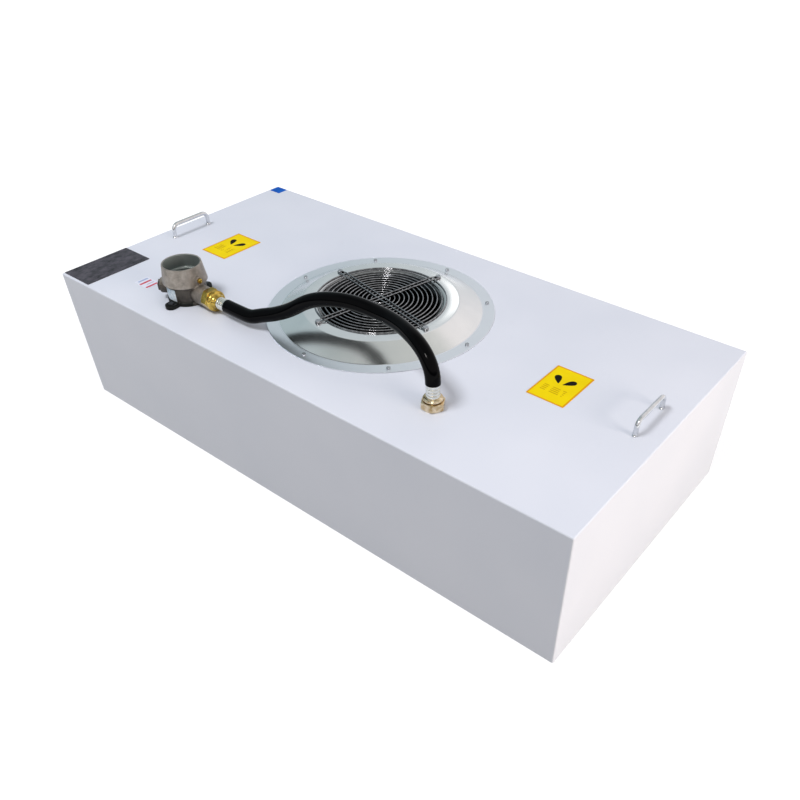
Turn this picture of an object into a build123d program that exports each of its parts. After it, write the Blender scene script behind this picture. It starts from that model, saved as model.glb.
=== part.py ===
"""Fan filter unit with a round inlet, a wire guard and a conduit-fed junction box.

All sizes are in millimetres. The origin is the centre of the casing's lower edge,
+X runs along the casing, +Y across it and +Z up through the air inlet.
"""
import os
from math import cos, pi, radians, sin, sqrt, tan

from build123d import *

os.makedirs("parts", exist_ok=True)

# ---------------------------------------------------------------- driving sizes
# Casing
casing_length = 1175.0
casing_width = 575.0
casing_height = 275.0
sheet = 1.5
bend_radius = 2.5
lip_width = 6.0

# Clearances
running_gap = 0.05      # shaft in bearing
seat_gap = 0.3          # pieces that drop into a pocket
screw_gap = 0.3         # screw shank in its hole
thread_gap = 0.1        # thread in its nut
press_gap = 0.02        # pressed seats

# Filter and its seat
filter_bottom = 10.0
filter_height = 69.0
filter_side_gap = 18.5
filter_wall = 1.5
filter_lip = 15.0
gasket_width = 11.0
gasket_height = 6.0
gasket_inset = 2.0
seat_leg = 35.0
seat_rise = 22.0
seat_sheet = 2.0
pleat_pitch = 12.0
pleat_paper = 4.0       # height of the paper measured up the steep fold
guard_sheet = 1.0
guard_columns = 11
guard_rows = 5
guard_bar = 5.0

# Filter clamps
clamp_stud_radius = 3.0
clamp_stud_offset = 12.0
clamp_spacing = 350.0
clamp_width = 24.0
clamp_length = 32.0
clamp_tail = 8.0
clamp_slot = 10.0
clamp_sheet = 3.0
clamp_nut_flats = 10.0
clamp_nut_height = 4.8
clamp_stud_end = 1.4

# Motor bridge
bridge_height = 34.0
bridge_top_width = 156.0
bridge_bottom_width = 190.0
bridge_foot = 26.0
bridge_sheet = 2.5
bridge_end_gap = 1.0
bridge_bolt_inset = 9.0
bridge_bolt_radius = 3.0
bridge_nut_flats = 10.0
bridge_nut_height = 4.8
bridge_head_height = 4.0
bridge_hole_margin = 4.0

# Motor
motor_base_radius = 64.0
motor_base_height = 8.0
motor_tube_radius = 22.0
motor_tube_bore = 13.0
tube_over_core = 6.0
motor_bolt_reach = 48.0
motor_bolt_radius = 3.0
motor_bolt_count = 4
motor_bolt_grip = 6.0
bearing_outer_radius = 16.0
bearing_width = 10.0
bearing_recess = 0.6
bearing_seal = 0.6
shaft_radius = 6.0
shaft_overhang = 4.0
shaft_chamfer = 0.8
core_radius = 50.0
core_height = 28.0
core_rise = 14.0
slot_count = 12
slot_width = 9.0
slot_depth = 17.0
winding_height = 7.0
winding_inset = 2.0
air_gap = 0.7
rotor_wall = 10.0
rotor_base_gap = 3.0
rotor_cap = 5.0
rotor_hub_radius = 13.0
rotor_end_gap = 3.0
rotor_hub_gap = 1.0
rotor_flange_radius = 76.0
rotor_flange_height = 4.0
rotor_flange_rise = 26.0
rotor_chamfer = 2.0

# Impeller
impeller_radius = 155.0
impeller_sheet = 2.0
blade_count = 7
blade_sheet = 2.0
blade_inner_radius = 98.0
blade_sweep = 38.0
blade_bow = 11.0
eye_radius = 107.0
eye_height = 90.0
eye_collar = 16.0
eye_bend = 14.0
blade_gap = 0.05
rim_height = 62.0
rotor_screw_count = 6
rotor_screw_radius = 2.5
rotor_screw_reach = 68.5
rotor_screw_flats = 8.0
rotor_screw_head = 3.5

# Inlet ring
ring_sheet = 1.5
flange_width = 23.0
cone_outer_radius = 187.0
cone_inner_radius = 145.0
cone_rise = 20.0
mouth_radius = 124.0
throat_radius = 102.0
throat_depth = 30.0
panel_lap = 7.0
ring_screw_inset = 12.0
ring_screw_count = 8
ring_screw_radius = 2.0
ring_screw_head_radius = 3.6
ring_screw_head_height = 2.2
ring_screw_length = 8.0

# Wire guard
wire = 2.4
guard_ring_count = 13
guard_ring_pitch = 8.65
guard_inner_radius = 17.0
strut_gap = 6.6
strut_turn = -13.0
foot_radius = 134.0
foot_count = 4
step_run = 4.0
weld_depth = 0.4
guard_screw_radius = 2.0
guard_head_radius = 4.6
guard_head_height = 2.0
guard_screw_length = 9.0

# Handles
handle_inset = 41.5
handle_span = 88.0
handle_height = 30.5
handle_bar = 8.0
handle_bend = 12.0
handle_foot_width = 9.0
handle_foot_length = 12.0
handle_foot_height = 2.0
handle_screw_radius = 2.0
handle_screw_flats = 8.0
handle_screw_head = 3.0
handle_screw_grip = 10.0

# Junction box
box_x = -314.0
box_y = -191.0
box_height = 70.0
box_body_radius = 36.0
box_collar_radius = 41.0
box_collar_bottom = 36.0
box_collar_chamfer = 3.0
box_mouth_radius = 36.0
box_bore_radius = 33.0
box_bore_depth = 25.0
box_cavity_radius = 29.0
box_floor = 6.0
box_foot_radius = 38.0
box_foot_height = 7.0
ear_distance = 46.0
ear_turn = 98.0
ear_radius = 11.0
ear_screw_radius = 3.0
ear_screw_flats = 9.0
ear_screw_head = 2.4
ear_screw_length = 16.0
hub_radius = 18.0
hub_reach = 63.0
port_bore_radius = 10.0
stub_radius = 14.0
stub_reach = 47.0
stub_height = 24.0
stub_turn = 215.0
lug_turn = 0.0
lug_height = 48.0
lug_width = 14.0
lug_reach = 45.0
web_step = 2.0
web_width = 9.0
earth_screw_radius = 2.0
earth_screw_grip = 4.0
earth_head_radius = 4.4
earth_head_height = 2.4
earth_slot = 1.2
plug_radius = 9.0
plug_grip = 10.0
plug_flats = 20.0
plug_head = 4.0
terminal_count = 3
terminal_pitch = 9.0
terminal_wall = 1.5
terminal_depth = 18.0
terminal_height = 16.0
terminal_well = 5.0
terminal_well_radius = 3.2
terminal_screw_height = 2.5

# Conduit and its fittings
conduit_height = 20.0
conduit_radius = 12.5
conduit_start_x = -200.0
conduit_start_y = -191.0
gland_x = 264.0
gland_y = -176.0
ferrule_radius = 11.5
ferrule_bore = 8.5
union_flats = 36.0
union_length = 15.0
nut_bevel = 1.4
collar_radius = 19.5
collar_length = 16.0
collar_round = 4.0
panel_nut_height = 14.0
panel_collar_height = 6.0
panel_collar_radius = 16.5
panel_collar_round = 2.0
panel_ferrule_top = 44.0
nipple_radius = 12.0
nipple_reach = 14.0
locknut_flats = 34.0
locknut_height = 5.0

# Route of the conduit: corner points, each as X, Y and height over the panel
conduit_route = [
    (conduit_start_x, conduit_start_y, conduit_height),
    (-164.0, conduit_start_y, conduit_height),
    (-138.0, -190.0, 20.0),
    (-118.0, -182.5, 27.0),
    (-88.5, -173.5, 36.0),
    (-56.0, -164.0, 52.0),
    (-21.5, -155.5, 77.0),
    (21.0, -145.5, 91.0),
    (67.0, -133.5, 94.5),
    (124.0, -130.0, 91.5),
    (168.5, -140.5, 95.0),
    (209.0, -157.5, 97.0),
    (236.5, -167.5, 91.0),
    (254.5, -173.0, 76.5),
    (gland_x, gland_y, 57.0),
    (gland_x, gland_y, panel_ferrule_top),
]

# Labels and plates
label_length = 70.0
label_width = 99.0
left_label_inset = 166.5
left_label_y = 3.0
right_label_inset = 197.5
right_label_y = -3.0
plate_length = 80.0
plate_width = 142.0
plate_inset_x = 2.5
plate_inset_y = 5.0
tag_length = 40.0
tag_width = 30.0
tag_from_box_x = -110.0
tag_from_box_y = -15.0
tab_length = 30.0
tab_width = 26.0
tab_inset_x = 4.5
tab_inset_y = 2.5
plate_sheet = 0.8
flat_corner = 1.5
film = 0.4
foil_bottom = 9.0
foil_height = 22.0
foil_arc = 46.0
foil_turn = 265.0

# ---------------------------------------------------------------- derived places
panel_top = casing_height
panel_under = casing_height - sheet
inner_length = casing_length - 2 * sheet
inner_width = casing_width - 2 * sheet
filter_length = inner_length - 2 * filter_side_gap
filter_width = inner_width - 2 * filter_side_gap
filter_top = filter_bottom + filter_height
pack_length = filter_length - 2 * (filter_wall + seat_gap)
pack_width = filter_width - 2 * (filter_wall + seat_gap)
seat_under = filter_top + gasket_height
seat_top = seat_under + seat_sheet
bridge_top = seat_top + bridge_height
motor_base_top = bridge_top + motor_base_height
core_bottom = motor_base_top + core_rise
core_top = core_bottom + core_height
motor_tube_top = core_top + tube_over_core
rotor_bottom = motor_base_top + rotor_base_gap
rotor_inner_radius = core_radius + air_gap
rotor_outer_radius = rotor_inner_radius + rotor_wall
rotor_inner_top = core_top + seat_gap + winding_height + rotor_end_gap
rotor_top = rotor_inner_top + rotor_cap
rotor_flange_bottom = rotor_bottom + rotor_flange_rise
rotor_flange_top = rotor_flange_bottom + rotor_flange_height
back_plate_top = rotor_flange_top + impeller_sheet
eye_top = rotor_flange_top + eye_height
collar_level = eye_top - eye_collar
rim_level = rotor_flange_top + rim_height
ring_flat = panel_top + cone_rise + ring_sheet
throat_bottom = panel_top - throat_depth
guard_ring_top = ring_flat + wire
ring_radius = cone_outer_radius + flange_width
ring_screw_reach = ring_radius - ring_screw_inset
panel_hole_radius = cone_outer_radius - panel_lap
handle_offset = casing_length / 2 - handle_inset
left_label_x = left_label_inset - casing_length / 2
right_label_x = casing_length / 2 - right_label_inset
tag_x = box_x + tag_from_box_x
tag_y = box_y + tag_from_box_y
conduit_level = panel_top + conduit_height


# ---------------------------------------------------------------- shared outlines
def hexagon(flats):
    """Hexagon by its width across flats, with two flats square to the local Y axis."""
    return RegularPolygon(radius=flats / 2, side_count=6, major_radius=False)


def nut_blank(flats, height):
    """Hexagon standing on XY, its corners bevelled at both ends."""
    with BuildPart() as blank:
        Cylinder(flats / sqrt(3), height, align=(Align.CENTER, Align.CENTER, Align.MIN))
        chamfer(blank.edges().filter_by(GeomType.CIRCLE), nut_bevel)
        with BuildSketch():
            hexagon(flats)
        extrude(amount=height, mode=Mode.INTERSECT)
    return blank.part


def finish(builder, name):
    """Labels a finished piece and writes its STEP file."""
    builder.part.label = name
    export_step(builder.part, "parts/" + name + ".step")


clamp_places = [
    (x, side * (inner_width / 2 - clamp_stud_offset), side * 90)
    for x in (-clamp_spacing, clamp_spacing)
    for side in (-1, 1)
]
clamp_places += [(side * (inner_length / 2 - clamp_stud_offset), 0, 90 - side * 90) for side in (-1, 1)]
clamp_spots = [(x, y) for x, y, turn in clamp_places]

bridge_bolt_x = bridge_bottom_width / 2 + bridge_foot / 2
bridge_bolt_y = inner_width / 2 - seat_sheet - bridge_bolt_inset
bridge_bolt_spots = [(sx * bridge_bolt_x, sy * bridge_bolt_y) for sx in (-1, 1) for sy in (-1, 1)]

handle_spots = [(sx * handle_offset, sy * handle_span / 2) for sx in (-1, 1) for sy in (-1, 1)]
ear_spots = [
    (box_x + side * ear_distance * cos(radians(ear_turn)), box_y + side * ear_distance * sin(radians(ear_turn)))
    for side in (-1, 1)
]

# ---------------------------------------------------------------- casing
with BuildPart() as casing:
    Box(casing_length, casing_width, casing_height, align=(Align.CENTER, Align.CENTER, Align.MIN))
    fillet(casing.edges().filter_by(Axis.Z), bend_radius)
    fillet(casing.faces().sort_by(Axis.Z)[-1].edges(), bend_radius)
    offset(amount=-sheet, openings=casing.faces().sort_by(Axis.Z)[0])
    # lower edge turned inwards
    with BuildSketch():
        RectangleRounded(casing_length, casing_width, bend_radius)
        Rectangle(inner_length - 2 * lip_width, inner_width - 2 * lip_width, mode=Mode.SUBTRACT)
    extrude(amount=sheet)
    # inlet, ring screws, gland, junction box screws and handle screws
    with BuildSketch(Plane.XY.offset(panel_under)):
        Circle(panel_hole_radius)
        with PolarLocations(ring_screw_reach, ring_screw_count):
            Circle(ring_screw_radius + screw_gap)
        with Locations((gland_x, gland_y)):
            Circle(nipple_radius + screw_gap)
        with Locations(ear_spots):
            Circle(ear_screw_radius + screw_gap)
        with Locations(handle_spots):
            Circle(handle_screw_radius + screw_gap)
    extrude(amount=sheet, mode=Mode.SUBTRACT)
finish(casing, "casing")

# ---------------------------------------------------------------- filter seat and filter
with BuildPart() as filter_seat_frame:
    with BuildSketch(Plane.XY.offset(seat_under)):
        RectangleRounded(inner_length, inner_width, bend_radius)
        Rectangle(inner_length - 2 * seat_leg, inner_width - 2 * seat_leg, mode=Mode.SUBTRACT)
        with Locations(bridge_bolt_spots):
            Circle(bridge_bolt_radius + screw_gap, mode=Mode.SUBTRACT)
    extrude(amount=seat_sheet)
    with BuildSketch(Plane.XY.offset(seat_top)):
        RectangleRounded(inner_length, inner_width, bend_radius)
        Rectangle(inner_length - 2 * seat_sheet, inner_width - 2 * seat_sheet, mode=Mode.SUBTRACT)
    extrude(amount=seat_rise - seat_sheet)
finish(filter_seat_frame, "filter_seat_frame")

# Channel frame of the filter, open inwards
with BuildPart() as filter_frame:
    with BuildSketch(Plane.XY.offset(filter_bottom)):
        Rectangle(filter_length, filter_width)
    extrude(amount=filter_height)
    with BuildSketch(Plane.XY.offset(filter_bottom)):
        Rectangle(filter_length - 2 * filter_lip, filter_width - 2 * filter_lip)
    extrude(amount=filter_height, mode=Mode.SUBTRACT)
    with BuildSketch(Plane.XY.offset(filter_bottom + filter_wall)):
        Rectangle(filter_length - 2 * filter_wall, filter_width - 2 * filter_wall)
    extrude(amount=filter_height - 2 * filter_wall, mode=Mode.SUBTRACT)
finish(filter_frame, "filter_frame")

# Face guard under the pleats, resting on the frame's lower lip
guard_level = filter_bottom + filter_wall
window_x = (filter_length - 2 * filter_lip) / guard_columns
window_y = (filter_width - 2 * filter_lip) / guard_rows
with BuildPart() as outlet_grille:
    with BuildSketch(Plane.XY.offset(guard_level)):
        Rectangle(pack_length, pack_width)
        with GridLocations(window_x, window_y, guard_columns, guard_rows):
            Rectangle(window_x - guard_bar, window_y - guard_bar, mode=Mode.SUBTRACT)
    extrude(amount=guard_sheet)
finish(outlet_grille, "outlet_grille")

# Pleated paper: one folded sheet with its folds along Y
pleat_bottom = guard_level + guard_sheet + seat_gap
pleat_top = filter_top - filter_wall - seat_gap
pleat_count = int(pack_length / pleat_pitch)
fold_step = pack_length / (2 * pleat_count)
with BuildPart() as filter_media:
    with BuildSketch(Plane.XZ):
        with BuildLine():
            lower = []
            upper = []
            for fold in range(2 * pleat_count + 1):
                fold_x = fold * fold_step - pack_length / 2
                fold_z = pleat_bottom if fold % 2 == 0 else pleat_top - pleat_paper
                lower.append((fold_x, fold_z))
                upper.append((fold_x, fold_z + pleat_paper))
            Polyline(lower + upper[::-1], close=True)
        make_face()
    extrude(amount=pack_width / 2, both=True)
finish(filter_media, "filter_media")

with BuildPart() as filter_gasket:
    with BuildSketch(Plane.XY.offset(filter_top)):
        Rectangle(filter_length - 2 * gasket_inset, filter_width - 2 * gasket_inset)
        offset(amount=-gasket_width, kind=Kind.INTERSECTION, mode=Mode.SUBTRACT)
    extrude(amount=gasket_height)
finish(filter_gasket, "filter_gasket")

# ---------------------------------------------------------------- filter clamps
clamp_bottom = filter_bottom - clamp_sheet
clamp_nut_bottom = clamp_bottom - clamp_nut_height
with BuildPart() as clamp_studs:
    with BuildSketch(Plane.XY.offset(clamp_nut_bottom - clamp_stud_end)):
        with Locations(clamp_spots):
            Circle(clamp_stud_radius)
    extrude(amount=seat_under - clamp_nut_bottom + clamp_stud_end)
finish(clamp_studs, "clamp_studs")

# Each clamp is a slotted plate that reaches from its stud in under the filter
with BuildPart() as filter_clamps:
    with BuildSketch(Plane.XY.offset(clamp_bottom)):
        for clamp_x, clamp_y, turn in clamp_places:
            with Locations(Location((clamp_x, clamp_y, 0), (0, 0, turn))):
                with Locations((-clamp_length / 2 + clamp_tail, 0)):
                    RectangleRounded(clamp_length, clamp_width, clamp_sheet)
                SlotOverall(clamp_slot, 2 * (clamp_stud_radius + screw_gap), mode=Mode.SUBTRACT)
    extrude(amount=clamp_sheet)
finish(filter_clamps, "filter_clamps")

with BuildPart() as clamp_nuts:
    with BuildSketch(Plane.XY.offset(clamp_nut_bottom)):
        with Locations(clamp_spots):
            hexagon(clamp_nut_flats)
            Circle(clamp_stud_radius + thread_gap, mode=Mode.SUBTRACT)
    extrude(amount=clamp_nut_height)
finish(clamp_nuts, "clamp_nuts")

# ---------------------------------------------------------------- motor bridge
bridge_length = inner_width - 2 * (seat_sheet + bridge_end_gap)
with BuildPart() as motor_bridge:
    with BuildSketch(Plane.XZ):
        with BuildLine():
            Polyline(
                (-bridge_bottom_width / 2 - bridge_foot, seat_top),
                (-bridge_bottom_width / 2, seat_top),
                (-bridge_top_width / 2, bridge_top - bridge_sheet),
                (bridge_top_width / 2, bridge_top - bridge_sheet),
                (bridge_bottom_width / 2, seat_top),
                (bridge_bottom_width / 2 + bridge_foot, seat_top),
            )
            offset(amount=bridge_sheet, side=Side.LEFT, kind=Kind.INTERSECTION)
        make_face()
    extrude(amount=bridge_length / 2, both=True)
    with BuildSketch(Plane.XY.offset(seat_top)):
        with Locations(bridge_bolt_spots):
            Circle(bridge_bolt_radius + screw_gap)
    extrude(amount=bridge_sheet, mode=Mode.SUBTRACT)
    with BuildSketch(Plane.XY.offset(bridge_top - bridge_sheet)):
        Circle(bearing_outer_radius + bridge_hole_margin)
        with PolarLocations(motor_bolt_reach, motor_bolt_count, start_angle=45):
            Circle(motor_bolt_radius + screw_gap)
    extrude(amount=bridge_sheet, mode=Mode.SUBTRACT)
finish(motor_bridge, "motor_bridge")

# Hexagon bolts down through the bridge feet and the seat, each with its nut below
bridge_foot_top = seat_top + bridge_sheet
bridge_nut_bottom = seat_under - bridge_nut_height
with BuildPart() as bridge_bolts:
    with BuildSketch(Plane.XY.offset(bridge_foot_top)):
        with Locations(bridge_bolt_spots):
            hexagon(bridge_nut_flats)
    extrude(amount=bridge_head_height)
    with BuildSketch(Plane.XY.offset(bridge_nut_bottom)):
        with Locations(bridge_bolt_spots):
            Circle(bridge_bolt_radius)
    extrude(amount=bridge_foot_top - bridge_nut_bottom)
finish(bridge_bolts, "bridge_bolts")

with BuildPart() as bridge_nuts:
    with BuildSketch(Plane.XY.offset(bridge_nut_bottom)):
        with Locations(bridge_bolt_spots):
            hexagon(bridge_nut_flats)
            Circle(bridge_bolt_radius + thread_gap, mode=Mode.SUBTRACT)
    extrude(amount=bridge_nut_height)
finish(bridge_nuts, "bridge_nuts")

# ---------------------------------------------------------------- motor, fixed pieces
# Base flange with the bearing tube that carries the core
with BuildPart() as motor_base:
    with BuildSketch(Plane.XY.offset(bridge_top)):
        Circle(motor_base_radius)
    extrude(amount=motor_base_height)
    with BuildSketch(Plane.XY.offset(bridge_top)):
        Circle(motor_tube_radius)
    extrude(amount=motor_tube_top - bridge_top)
    with BuildSketch(Plane.XY.offset(bridge_top)):
        Circle(motor_tube_bore)
    extrude(amount=motor_tube_top - bridge_top, mode=Mode.SUBTRACT)
    for seat_level in (bridge_top, motor_tube_top - bearing_recess - bearing_width):
        with BuildSketch(Plane.XY.offset(seat_level)):
            Circle(bearing_outer_radius + press_gap)
        extrude(amount=bearing_recess + bearing_width, mode=Mode.SUBTRACT)
    with BuildSketch(Plane.XY.offset(bridge_top)):
        with PolarLocations(motor_bolt_reach, motor_bolt_count, start_angle=45):
            Circle(motor_bolt_radius + screw_gap)
    extrude(amount=motor_bolt_grip + screw_gap, mode=Mode.SUBTRACT)
finish(motor_base, "motor_base")

with BuildPart() as motor_bolts:
    with BuildSketch(Plane.XY.offset(bridge_top - bridge_sheet)):
        with PolarLocations(motor_bolt_reach, motor_bolt_count, start_angle=45):
            hexagon(bridge_nut_flats)
    extrude(amount=-bridge_head_height)
    with BuildSketch(Plane.XY.offset(bridge_top - bridge_sheet)):
        with PolarLocations(motor_bolt_reach, motor_bolt_count, start_angle=45):
            Circle(motor_bolt_radius)
    extrude(amount=bridge_sheet + motor_bolt_grip)
finish(motor_bolts, "motor_bolts")

# Sealed ball bearings: outer race, inner race and a shallow recess between them
bearing_levels = {
    "lower_bearing": bridge_top + bearing_recess,
    "upper_bearing": motor_tube_top - bearing_recess - bearing_width,
}
race = (bearing_outer_radius - shaft_radius) / 4
for bearing_name, level in bearing_levels.items():
    with BuildPart() as bearing:
        with BuildSketch(Plane.XY.offset(level)):
            Circle(bearing_outer_radius)
            Circle(shaft_radius + running_gap, mode=Mode.SUBTRACT)
        extrude(amount=bearing_width)
        for seal_level in (level, level + bearing_width - bearing_seal):
            with BuildSketch(Plane.XY.offset(seal_level)):
                Circle(bearing_outer_radius - race)
                Circle(shaft_radius + race, mode=Mode.SUBTRACT)
            extrude(amount=bearing_seal, mode=Mode.SUBTRACT)
    finish(bearing, bearing_name)

# Laminated core, slotted from its rim
slot_floor = core_radius - slot_depth
with BuildPart() as stator_core:
    with BuildSketch(Plane.XY.offset(core_bottom)):
        Circle(core_radius)
        Circle(motor_tube_radius + press_gap, mode=Mode.SUBTRACT)
        with PolarLocations(slot_floor, slot_count):
            Rectangle(2 * slot_depth, slot_width, align=(Align.MIN, Align.CENTER), mode=Mode.SUBTRACT)
    extrude(amount=core_height)
finish(stator_core, "stator_core")

# Coils: a bar in each slot, joined by a ring of end turns over and under the core
with BuildPart() as stator_winding:
    for ring_level in (core_bottom - seat_gap - winding_height, core_top + seat_gap):
        with BuildSketch(Plane.XY.offset(ring_level)):
            Circle(core_radius - winding_inset)
            Circle(slot_floor + seat_gap, mode=Mode.SUBTRACT)
        extrude(amount=winding_height)
    with BuildSketch(Plane.XY.offset(core_bottom - seat_gap)):
        with PolarLocations(slot_floor + 2 * seat_gap, slot_count):
            Rectangle(
                slot_depth - winding_inset - 4 * seat_gap,
                slot_width - 2 * seat_gap,
                align=(Align.MIN, Align.CENTER),
            )
    extrude(amount=core_height + 2 * seat_gap)
finish(stator_winding, "stator_winding")

# ---------------------------------------------------------------- rotating pieces
with BuildPart() as motor_shaft:
    with BuildSketch(Plane.XY.offset(bearing_levels["lower_bearing"] - shaft_overhang)):
        Circle(shaft_radius)
    extrude(amount=rotor_top - bearing_levels["lower_bearing"] + shaft_overhang)
    chamfer(motor_shaft.edges().filter_by(GeomType.CIRCLE), shaft_chamfer)
finish(motor_shaft, "motor_shaft")

# External rotor: a cup over the core, its hub on the shaft and a flange for the impeller
with BuildPart() as motor_rotor:
    with BuildSketch(Plane.XZ):
        with BuildLine():
            Polyline(
                (shaft_radius + press_gap, rotor_top),
                (shaft_radius + press_gap, motor_tube_top + rotor_hub_gap),
                (rotor_hub_radius, motor_tube_top + rotor_hub_gap),
                (rotor_hub_radius, rotor_inner_top),
                (rotor_inner_radius, rotor_inner_top),
                (rotor_inner_radius, rotor_bottom),
                (rotor_outer_radius, rotor_bottom),
                (rotor_outer_radius, rotor_flange_bottom),
                (rotor_flange_radius, rotor_flange_bottom),
                (rotor_flange_radius, rotor_flange_top),
                (rotor_outer_radius, rotor_flange_top),
                (rotor_outer_radius, rotor_top - rotor_chamfer),
                (rotor_outer_radius - rotor_chamfer, rotor_top),
                close=True,
            )
        make_face()
    revolve(axis=Axis.Z)
    with BuildSketch(Plane.XY.offset(rotor_flange_bottom)):
        with PolarLocations(rotor_screw_reach, rotor_screw_count):
            Circle(rotor_screw_radius + screw_gap)
    extrude(amount=rotor_flange_height, mode=Mode.SUBTRACT)
finish(motor_rotor, "motor_rotor")

with BuildPart() as impeller_back_plate:
    with BuildSketch(Plane.XY.offset(rotor_flange_top)):
        Circle(impeller_radius)
        Circle(rotor_outer_radius + seat_gap, mode=Mode.SUBTRACT)
        with PolarLocations(rotor_screw_reach, rotor_screw_count):
            Circle(rotor_screw_radius + screw_gap, mode=Mode.SUBTRACT)
    extrude(amount=impeller_sheet)
finish(impeller_back_plate, "impeller_back_plate")

with BuildPart() as rotor_screws:
    with BuildSketch(Plane.XY.offset(back_plate_top)):
        with PolarLocations(rotor_screw_reach, rotor_screw_count):
            hexagon(rotor_screw_flats)
    extrude(amount=rotor_screw_head)
    with BuildSketch(Plane.XY.offset(rotor_flange_bottom)):
        with PolarLocations(rotor_screw_reach, rotor_screw_count):
            Circle(rotor_screw_radius)
    extrude(amount=rotor_flange_height + impeller_sheet)
finish(rotor_screws, "rotor_screws")

# Shroud: a spun sheet from the round eye out to the rim
with BuildPart() as impeller_shroud:
    with BuildSketch(Plane.XZ):
        with BuildLine():
            FilletPolyline(
                (eye_radius, eye_top),
                (eye_radius, collar_level),
                (impeller_radius, rim_level),
                radius=eye_bend,
            )
            offset(amount=impeller_sheet, side=Side.LEFT, kind=Kind.INTERSECTION)
        make_face()
    revolve(axis=Axis.Z)
finish(impeller_shroud, "impeller_shroud")

# Backward-curved blades, cut to the space between back plate and shroud
blade_middle = (blade_inner_radius + impeller_radius) / 2 + blade_bow
for blade in range(blade_count):
    turn = 360 * blade / blade_count
    with BuildPart() as impeller_blade:
        with BuildSketch(Plane.XY.offset(back_plate_top)):
            with BuildLine():
                root_point = (blade_inner_radius * cos(radians(turn)), blade_inner_radius * sin(radians(turn)))
                middle_turn = radians(turn - blade_sweep / 2)
                middle_point = (blade_middle * cos(middle_turn), blade_middle * sin(middle_turn))
                tip_turn = radians(turn - blade_sweep)
                tip_radius = impeller_radius - blade_sheet
                tip_point = (tip_radius * cos(tip_turn), tip_radius * sin(tip_turn))
                ThreePointArc(root_point, middle_point, tip_point)
                offset(amount=blade_sheet, side=Side.RIGHT, kind=Kind.INTERSECTION)
            make_face()
        extrude(amount=eye_height)
        with BuildSketch(Plane.XZ):
            with BuildLine():
                Polyline(
                    (0, collar_level - blade_gap),
                    (0, back_plate_top),
                    (impeller_radius, back_plate_top),
                    (impeller_radius, rim_level - blade_gap),
                )
                FilletPolyline(
                    (impeller_radius, rim_level - blade_gap),
                    (eye_radius, collar_level - blade_gap),
                    (0, collar_level - blade_gap),
                    radius=eye_bend,
                )
            make_face()
        revolve(axis=Axis.Z, mode=Mode.INTERSECT)
    finish(impeller_blade, "impeller_blade_" + str(blade + 1))

# ---------------------------------------------------------------- inlet ring and wire guard
# One spun sheet: flange, raised cone, flat, bell mouth and throat
with BuildPart() as inlet_ring:
    with BuildSketch(Plane.XZ):
        with BuildLine():
            Polyline(
                (ring_radius, panel_top + ring_sheet),
                (cone_outer_radius, panel_top + ring_sheet),
                (cone_inner_radius, ring_flat),
                (mouth_radius, ring_flat),
            )
            bell = JernArc(
                start=(mouth_radius, ring_flat),
                tangent=(-1, 0),
                radius=mouth_radius - throat_radius,
                arc_size=90,
            )
            Line(bell @ 1, (throat_radius, throat_bottom))
            offset(amount=ring_sheet, side=Side.LEFT, kind=Kind.INTERSECTION)
        make_face()
    revolve(axis=Axis.Z)
    with BuildSketch(Plane.XY.offset(panel_top)):
        with PolarLocations(ring_screw_reach, ring_screw_count):
            Circle(ring_screw_radius + screw_gap)
    extrude(amount=ring_sheet, mode=Mode.SUBTRACT)
    with BuildSketch(Plane.XY.offset(ring_flat)):
        with PolarLocations(foot_radius, foot_count, start_angle=strut_turn):
            Circle(guard_screw_radius + screw_gap)
    extrude(amount=-ring_sheet, mode=Mode.SUBTRACT)
finish(inlet_ring, "inlet_ring")

with BuildPart() as flange_screws:
    with BuildSketch(Plane.XY.offset(panel_top + ring_sheet)):
        with PolarLocations(ring_screw_reach, ring_screw_count):
            Circle(ring_screw_head_radius)
    extrude(amount=ring_screw_head_height)
    with BuildSketch(Plane.XY.offset(panel_top + ring_sheet - ring_screw_length)):
        with PolarLocations(ring_screw_reach, ring_screw_count):
            Circle(ring_screw_radius)
    extrude(amount=ring_screw_length)
finish(flange_screws, "flange_screws")

# One double strut: two wires side by side over the rings, joined by an eye at each end,
# and stepped down at the ends from the rings' top to the inlet ring
eye_outer = strut_gap / 2 + wire
strut_reach = foot_radius + eye_outer
step_foot = foot_radius - eye_outer - step_run
with BuildPart() as strut:
    with BuildSketch(Plane.XZ):
        with BuildLine():
            Polyline(
                (-strut_reach, ring_flat),
                (-step_foot - step_run, ring_flat),
                (-step_foot, guard_ring_top - weld_depth),
                (step_foot, guard_ring_top - weld_depth),
                (step_foot + step_run, ring_flat),
                (strut_reach, ring_flat),
            )
            offset(amount=wire, side=Side.LEFT, kind=Kind.INTERSECTION)
        make_face()
    extrude(amount=eye_outer, both=True)
    with BuildSketch(Plane.XY.offset(ring_flat)):
        SlotCenterToCenter(2 * foot_radius, 2 * eye_outer)
        SlotCenterToCenter(2 * foot_radius, strut_gap, mode=Mode.SUBTRACT)
    extrude(amount=3 * wire, mode=Mode.INTERSECT)

with BuildPart() as wire_guard:
    with BuildSketch(Plane.XY.offset(ring_flat)):
        for ring in reversed(range(guard_ring_count)):
            ring_middle = guard_inner_radius + ring * guard_ring_pitch
            Circle(ring_middle + wire / 2)
            Circle(ring_middle - wire / 2, mode=Mode.SUBTRACT)
    extrude(amount=wire)
    add(strut.part, rotation=(0, 0, strut_turn))
    add(strut.part, rotation=(0, 0, strut_turn + 90))
finish(wire_guard, "wire_guard")

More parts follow.
